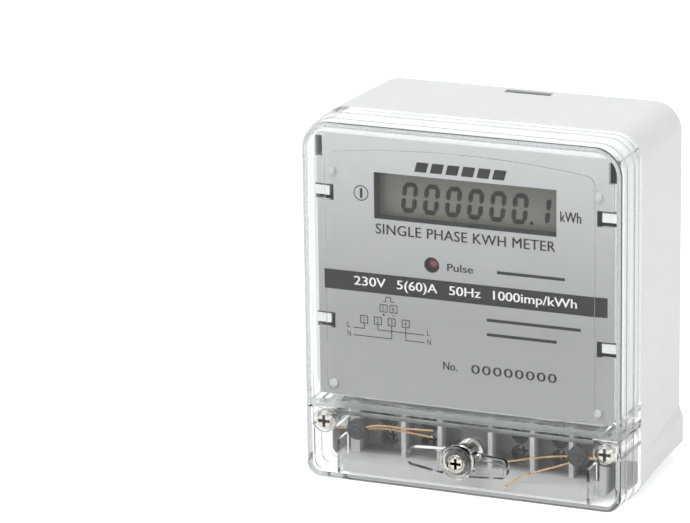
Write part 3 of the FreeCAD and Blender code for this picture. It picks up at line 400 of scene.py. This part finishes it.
RECESS_REACH = 1.6
shade_recesses(SCREW, RECESS_REACH * MM)
shade_recesses(SHADED_CLAMP_STEEL, RECESS_REACH * MM)


def block_material():
    """The terminal block: light grey moulding whose recessed cells get painted shade, darker with
    depth.
    """
    material = plastic("block_grey", BLOCK_LIGHT, 0.45)
    tree, links = material.node_tree.nodes, material.node_tree.links
    shader = shader_of(tree)
    light = shader.inputs["Base Color"].links[0].from_socket
    place = tree.new("ShaderNodeTexCoord")
    split = tree.new("ShaderNodeSeparateXYZ")
    links.new(place.outputs["Object"], split.inputs[0])
    # Painted shade: the colour goes from the light moulding to dark with depth into the cells.
    depth = tree.new("ShaderNodeMapRange")
    depth.inputs["From Min"].default_value = BACK - 51.6 * MM
    depth.inputs["From Max"].default_value = BACK - 47.5 * MM
    links.new(split.outputs["Y"], depth.inputs["Value"])
    mix = tree.new("ShaderNodeMix")
    mix.data_type = "RGBA"
    mix.inputs["B"].default_value = (*BLOCK_CELL_SHADE, 1)
    links.new(depth.outputs[0], mix.inputs["Factor"])
    links.new(light, mix.inputs["A"])
    links.new(mix.outputs["Result"], shader.inputs["Base Color"])
    return material


def plate_material():
    """Satin silver nameplate: fine brushing across, and painted light that falls off downwards,
    lighter at the top.
    """
    material = metal("plate_silver", (0.53, 0.54, 0.545), 0.42, spread=0.02, stretch=(0.05, 1, 1),
                     scale=2200)
    tree, links = material.node_tree.nodes, material.node_tree.links
    shader = shader_of(tree)
    shader.inputs["Metallic"].default_value = 0.15
    place = tree.new("ShaderNodeTexCoord")
    split = tree.new("ShaderNodeSeparateXYZ")
    links.new(place.outputs["Object"], split.inputs[0])
    # Painted light: a ramp over height multiplies the colour, lighter at the top and darker lower
    # down.
    level = tree.new("ShaderNodeMapRange")
    level.inputs["From Min"].default_value = 28 * MM
    level.inputs["From Max"].default_value = 112 * MM
    links.new(split.outputs["Z"], level.inputs["Value"])
    painted_tone = ramp(tree, links, level.outputs[0], [(0.0, 0.66), (0.35, 0.62), (0.7, 0.80), (1.0, 1.0)])
    multiply_colour(tree, links, shader, painted_tone)
    return material


def ringed(material, centre, pitch):
    """Adds moulded rings to a material as a bump, about a centre and its mirror image in X."""
    tree, links = material.node_tree.nodes, material.node_tree.links
    shader = shader_of(tree)
    place = tree.new("ShaderNodeTexCoord")
    split = tree.new("ShaderNodeSeparateXYZ")
    links.new(place.outputs["Object"], split.inputs[0])
    near = tree.new("ShaderNodeMath")
    near.operation = "ABSOLUTE"
    links.new(split.outputs["X"], near.inputs[0])
    spot = tree.new("ShaderNodeCombineXYZ")
    links.new(near.outputs[0], spot.inputs["X"])
    links.new(split.outputs["Z"], spot.inputs["Z"])
    away = tree.new("ShaderNodeVectorMath")
    away.operation = "DISTANCE"
    away.inputs[1].default_value = centre
    links.new(spot.outputs[0], away.inputs[0])
    wave = tree.new("ShaderNodeMath")
    wave.operation = "SINE"
    turns = tree.new("ShaderNodeMath")
    turns.operation = "MULTIPLY"
    turns.inputs[1].default_value = 2 * math.pi / pitch
    links.new(away.outputs["Value"], turns.inputs[0])
    links.new(turns.outputs[0], wave.inputs[0])
    bump(tree, links, wave.outputs[0], shader, 0.8, 0.00025)


BLOCK = block_material()
PLATE = plate_material()
ringed(SEAL, (37.7 * MM, 0, 16.0 * MM), 1.7 * MM)


def lens_material(name, colour, rough=0.12):
    """A tinted glossy lens with a mottled depth."""
    material = plastic(name, colour, rough, spread=0.03, grain=400, grain_depth=0.00001)
    shader = shader_of(material.node_tree.nodes)
    shader.inputs["Coat Weight"].default_value = 0.3
    shader.inputs["Coat Roughness"].default_value = 0.05
    return material


LAMP = lens_material("led_red", (0.20, 0.02, 0.025))
DISPLAY = lens_material("lcd_green", (0.115, 0.13, 0.095), 0.35)

FINISHES = {
    "white_abs": WHITE, "clear_cover": CLEAR, "frame_white": FRAME_WHITE, "block_grey": BLOCK,
    "plate_silver": PLATE, "bezel_dark": BEZEL, "lcd_green": DISPLAY, "clear_pin": CLEAR_PIN,
    "board_green": BOARD, "chip_black": CHIP, "tin": TIN, "led_red": LAMP, "film_blue": FILM,
    "copper": COPPER, "brass": BRASS, "screw_steel": SCREW, "seal_grey": SEAL,
    "latch_grey": LATCH, "hanger_grey": HANGER, "clamp_steel": SHADED_CLAMP_STEEL,
}


def dress_frame():
    """Give every CAD node the finish of its material slot."""
    for entry in frame["record"]["subparts"]:
        node = nodes[entry["node"]]
        node.data.materials.clear()
        node.data.materials.append(FINISHES[entry["material_slot"]])


dress_frame()
for wire_name, wire_route in WIRE_ROUTES.items():
    twisted_wire(wire_name, wire_route, COPPER)


# ---------------------------------------------------------------- spring of the rail latch

SPRING_RADIUS = 0.85
SPRING_WIRE = 0.2
SPRING_PITCH = 1.6
SPRING_DEPTH = -2.45
SPRING_LOW = 14.25
SPRING_TOP = 29.75


def latch_coil():
    """The latch's coil spring."""
    turns = (SPRING_TOP - SPRING_LOW) / SPRING_PITCH
    count = int(turns * 24)
    line = []
    for number in range(count + 1):
        turn = 2 * math.pi * turns * number / count
        high = SPRING_LOW + (SPRING_TOP - SPRING_LOW) * number / count
        across = SPRING_RADIUS * math.cos(turn)
        depth = SPRING_DEPTH + SPRING_RADIUS * math.sin(turn)
        line.append(at(across, depth, high))
    sides, ups = frames_along(line)
    mesh = bmesh.new()
    tube(mesh, line, sides, ups, SPRING_WIRE * MM)
    piece = finish_mesh(mesh, "latch_spring_coil", material=TIN)
    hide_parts("latch_spring")
    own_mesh(piece)


latch_coil()


# ---------------------------------------------------------------- printing and display digits

PLATE_FRONT = 56.4
PRINT_GAP = 0.03
GLASS_FRONT = 51.2


def flat_piece(name, shapes, depth, material):
    """One thin printed layer facing the front; a shape is a list of (x, z) corner loops."""
    mesh = bmesh.new()
    for corners in shapes:
        mesh.faces.new([mesh.verts.new(at(x, depth, z)) for x, z in corners])
    piece = finish_mesh(mesh, name, material=material, smooth=False)
    return piece


def quad(left, right, low, high):
    """An upright rectangle's corners."""
    return [(left, low), (right, low), (right, high), (left, high)]


def frame_of(left, right, low, high, thick):
    """The four bars of a rectangular outline."""
    return [quad(left, right, low, low + thick), quad(left, right, high - thick, high),
            quad(left, left + thick, low + thick, high - thick),
            quad(right - thick, right, low + thick, high - thick)]


def ring_of(x, z, radius, thick, count=40):
    """A round outline made of short bars."""
    bars = []
    hollow = radius - thick
    for number in range(count):
        turns = [2 * math.pi * (number + k) / count for k in (0, 1)]
        inner = [(x + hollow * math.cos(t), z + hollow * math.sin(t)) for t in turns]
        outer = [(x + radius * math.cos(t), z + radius * math.sin(t)) for t in turns]
        bars.append([inner[0], outer[0], outer[1], inner[1]])
    return bars


def glyph_faces(text, spacing):
    """The flat faces of a line of text in the built-in font, and their height of a capital H."""
    faces = []
    for line in (text, "H"):
        curve = bpy.data.curves.new("line", "FONT")
        curve.body = line
        curve.space_character = spacing
        curve.resolution_u = 4
        helper = bpy.data.objects.new("line", curve)
        scene.collection.objects.link(helper)
        mesh = mesh_of(helper)
        faces.append([[(mesh.vertices[k].co.x, mesh.vertices[k].co.y) for k in polygon.vertices]
                      for polygon in mesh.polygons])
        bpy.data.objects.remove(helper)
        bpy.data.curves.remove(curve)
        bpy.data.meshes.remove(mesh)
    capital = max(up for face in faces[1] for across, up in face)
    return faces[0], capital


BOLD = 0.16


def bolder(shapes):
    """The same shapes a little to the right, for a second layer that thickens the strokes."""
    return [[(across + BOLD, up) for across, up in shape] for shape in shapes]


def lettering(text, left, right, base, capital_height, spacing=1.0):
    """A line of text between two X on a base line, with room for its second layer."""
    faces, capital = glyph_faces(text, spacing)
    start = min(across for face in faces for across, up in face)
    end = max(across for face in faces for across, up in face)
    wide = (right - left - BOLD) / (end - start)
    tall = capital_height / capital
    return [[(left + (across - start) * wide, base + up * tall) for across, up in face]
            for face in faces]


DIAGRAM_LINE = 0.28
DIAGRAM_BOXES = {"1": (-34.1, 54.4), "2": (-29.4, 54.4), "3": (-24.7, 54.4), "4": (-19.9, 54.4),
                 "5": (-27.4, 58.8), "6": (-24.0, 58.8)}


def diagram():
    """The wiring diagram: numbered terminal boxes, the pulse sign and the two lines."""
    half = 1.35
    line = DIAGRAM_LINE
    shapes = []
    for digit, (x, z) in DIAGRAM_BOXES.items():
        shapes += frame_of(x - half, x + half, z - half, z + half, line)
        wide = 0.2 if digit == "1" else 0.5
        shapes += lettering(digit, x - wide, x + wide, z - 0.8, 1.6)
    for x, low, left, right in ((-34.1, 51.5, -37.6, -34.1), (-29.4, 51.5, -29.4, -13.7),
                                (-24.7, 49.0, -37.6, -24.7), (-19.9, 49.0, -19.9, -13.7)):
        shapes.append(quad(x - line / 2, x + line / 2, low, 54.4 - half))
        shapes.append(quad(left - line / 2, right + line / 2, low - line, low))
    for x in (-39.9, -12.6):
        shapes += lettering("L", x, x + 1.1, 51.2, 2.0)
        shapes += lettering("N", x, x + 1.4, 48.2, 2.0)
    shapes += [quad(-27.6, -26.5, 61.0, 61.0 + line), quad(-26.7, -26.7 + line, 61.0, 62.7),
               quad(-26.7, -24.9, 62.7 - line, 62.7), quad(-25.1, -25.1 + line, 61.0, 62.7),
               quad(-25.0, -23.8, 61.0, 61.0 + line)]
    shapes += ring_of(-27.4, 56.6, 0.35, 0.34, 12) + [quad(-24.4, -23.6, 56.5, 56.5 + line)]
    return shapes


BAND_HALF = 47.6
BAND_LOW = 63.55
BAND_TOP = 70.05
RATINGS_BASE = 65.7
RATINGS_HIGH = 2.9
RATINGS = {"230V": (-37.4, -26.5), "5(60)A": (-22.8, -9.0), "50Hz": (-5.1, 5.6),
           "1000imp/kWh": (9.7, 37.6)}
BLOCKS = 6
BLOCKS_LEFT = -16.5
BLOCK_PITCH = 5.2
BLOCK_WIDE = 4.0
BLOCK_SLANT = 0.9
BLOCK_LOW = 104.9
BLOCK_TOP = 108.1


def slanted_blocks():
    """A row of plain slanted blocks above the display."""
    blocks = []
    for number in range(BLOCKS):
        left = BLOCKS_LEFT + BLOCK_PITCH * number
        right = left + BLOCK_WIDE
        blocks.append([(left, BLOCK_LOW), (right, BLOCK_LOW), (right + BLOCK_SLANT, BLOCK_TOP),
                       (left + BLOCK_SLANT, BLOCK_TOP)])
    return blocks


def plate_printing():
    """Generic printing on the nameplate: title, unit, ratings band, diagram and plain marks."""
    band = [quad(-BAND_HALF, BAND_HALF, BAND_LOW, BAND_TOP)]
    words = lettering("SINGLE PHASE KWH METER", -29.8, 30.5, 83.4, 3.3, 1.05)
    words += lettering("Pulse", -5.7, 3.1, 73.5, 2.4)
    words += lettering("kWh", 32.0, 39.0, 93.4, 3.4)
    marks = ring_of(-34.6, 96.2, 2.55, 0.34)
    words += lettering("1", -35.0, -34.1, 94.6, 3.2)
    words += lettering("No.", -7.3, -2.5, 40.6, 2.7)
    words += lettering("00000000", 2.2, 30.9, 40.4, 2.9, 1.15)
    marks += slanted_blocks()
    marks += [quad(11.0, 33.6, 74.2, 75.2), quad(7.5, 38.9, 58.2, 59.2),
              quad(7.5, 30.9, 53.4, 54.4)]
    marks += diagram()
    ratings = []
    for text, (left, right) in RATINGS.items():
        ratings += lettering(text, left, right, RATINGS_BASE, RATINGS_HIGH)
    first, second, third = [PLATE_FRONT + layer * PRINT_GAP for layer in (1, 2, 3)]
    flat_piece("print_band", band, first, INK)
    flat_piece("print_black", marks + words, first, INK)
    flat_piece("print_black_bold", bolder(words), second, INK)
    flat_piece("print_ratings", ratings, second, INK_WHITE)
    flat_piece("print_ratings_bold", bolder(ratings), third, INK_WHITE)


SEGMENTS = {"0": "abcdef", "1": "bc"}
DIGIT_HALF = 1.85
DIGIT_HIGH = 4.25
STROKE = 1.6
SEGMENT_GAP = 0.3
SLANT = 0.11
DIGITS_LEFT = -20.2
DIGITS_MIDDLE = 94.65
DIGIT_PITCH = 7.42


def segment(kind, x, z):
    """One bar of a seven-segment digit whose middle is at a point, with pointed ends."""
    half, high, thick, gap = DIGIT_HALF, DIGIT_HIGH, STROKE / 2, SEGMENT_GAP
    if kind in "adg":
        level = {"a": high, "g": 0, "d": -high}[kind]
        reach = half - gap
        corners = [(-reach - thick * 0.6, level), (-reach + thick * 0.4, level + thick),
                   (reach - thick * 0.4, level + thick), (reach + thick * 0.6, level),
                   (reach - thick * 0.4, level - thick), (-reach + thick * 0.4, level - thick)]
    else:
        side = half if kind in "bc" else -half
        low, top = (gap, high - gap) if kind in "bf" else (gap - high, -gap)
        shoulder = top - thick * 0.6
        corners = [(side, low - 0.1), (side + thick, low + thick), (side + thick, shoulder),
                   (side, top + 0.1), (side - thick, shoulder), (side - thick, low + thick)]
    return [(x + across + SLANT * up, z + up) for across, up in corners]


def display_digits():
    """The reading 000000.1 in dark seven-segment digits on the display's glass."""
    shapes = []
    for place, digit in enumerate("0000001"):
        x = DIGITS_LEFT + DIGIT_PITCH * place
        shapes += [segment(kind, x, DIGITS_MIDDLE) for kind in SEGMENTS[digit]]
    dot_x = DIGITS_LEFT + DIGIT_PITCH * 5.5 + 0.1
    shapes += ring_of(dot_x, DIGITS_MIDDLE - DIGIT_HIGH - 0.1, 0.6, 0.59, 16)
    flat_piece("display_digits", shapes, GLASS_FRONT + PRINT_GAP, INK_DISPLAY)


INK = plastic("ink_black", (0.012, 0.012, 0.012), 0.5, spread=0.004, grain=1500,
              grain_depth=0.000005, specular=0.15)
INK_WHITE = plastic("ink_white", (0.80, 0.80, 0.79), 0.4, spread=0.01, grain=1500,
                    grain_depth=0.000005)
INK_DISPLAY = plastic("ink_display", (0.006, 0.008, 0.006), 0.5, spread=0.005, grain=600,
                      grain_depth=0.000003, specular=0.15)
plate_printing()
display_digits()


# ---------------------------------------------------------------- floor and light

FLOOR_HALF = 6
FLOOR_FRONT = -6
FLOOR_REAR = 0.9
SWEEP_RADIUS = 0.6
SWEEP_STEPS = 12
BACKDROP_TOP = 2.4
FLOOR_GLOW = 0.34
WORLD_LIGHT = 0.55


def make_stage():
    """A plain pale floor that curves up into a backdrop."""
    mesh = bmesh.new()
    profile = [(FLOOR_FRONT, 0), (FLOOR_REAR, 0)]
    for number in range(1, SWEEP_STEPS + 1):
        turn = math.pi / 2 * number / SWEEP_STEPS
        profile.append((FLOOR_REAR + SWEEP_RADIUS * math.sin(turn),
                        SWEEP_RADIUS - SWEEP_RADIUS * math.cos(turn)))
    profile.append((FLOOR_REAR + SWEEP_RADIUS, BACKDROP_TOP))
    rows = [[mesh.verts.new((x, y, z)) for x in (-FLOOR_HALF, FLOOR_HALF)] for y, z in profile]
    for near, far in zip(rows, rows[1:]):
        mesh.faces.new((near[0], near[1], far[1], far[0]))
    data = bpy.data.meshes.new("floor")
    mesh.to_mesh(data)
    mesh.free()
    data.shade_smooth()
    floor = bpy.data.objects.new("floor", data)
    scene.collection.objects.link(floor)
    pale = plastic("floor_white", (0.88, 0.88, 0.88), 0.8, spread=0.005, specular=0.1)
    white = shader_of(pale.node_tree.nodes)
    white.inputs["Emission Color"].default_value = (1, 1, 1, 1)
    white.inputs["Emission Strength"].default_value = FLOOR_GLOW
    data.materials.append(pale)


def area_light(name, place, target, size, power):
    """A square soft light aimed at a point."""
    data = bpy.data.lights.new(name, "AREA")
    data.size = size
    data.energy = power
    light = bpy.data.objects.new(name, data)
    light.location = place
    light.rotation_euler = (Vector(target) - Vector(place)).to_track_quat("-Z", "Y").to_euler()
    scene.collection.objects.link(light)


def make_world():
    world = bpy.data.worlds.new("world")
    world.use_nodes = True
    background = world.node_tree.nodes["Background"]
    background.inputs["Color"].default_value = (1, 1, 1, 1)
    background.inputs["Strength"].default_value = WORLD_LIGHT
    scene.world = world


make_stage()
make_world()
area_light("key", (-0.7, -0.9, 1.3), (0, 0, 0.05), 0.9, 11)
area_light("fill", (1.1, -0.8, 0.7), (0, 0, 0.06), 0.8, 2.5)
area_light("top", (0.0, 0.1, 1.4), (0, 0, 0.05), 0.9, 5)
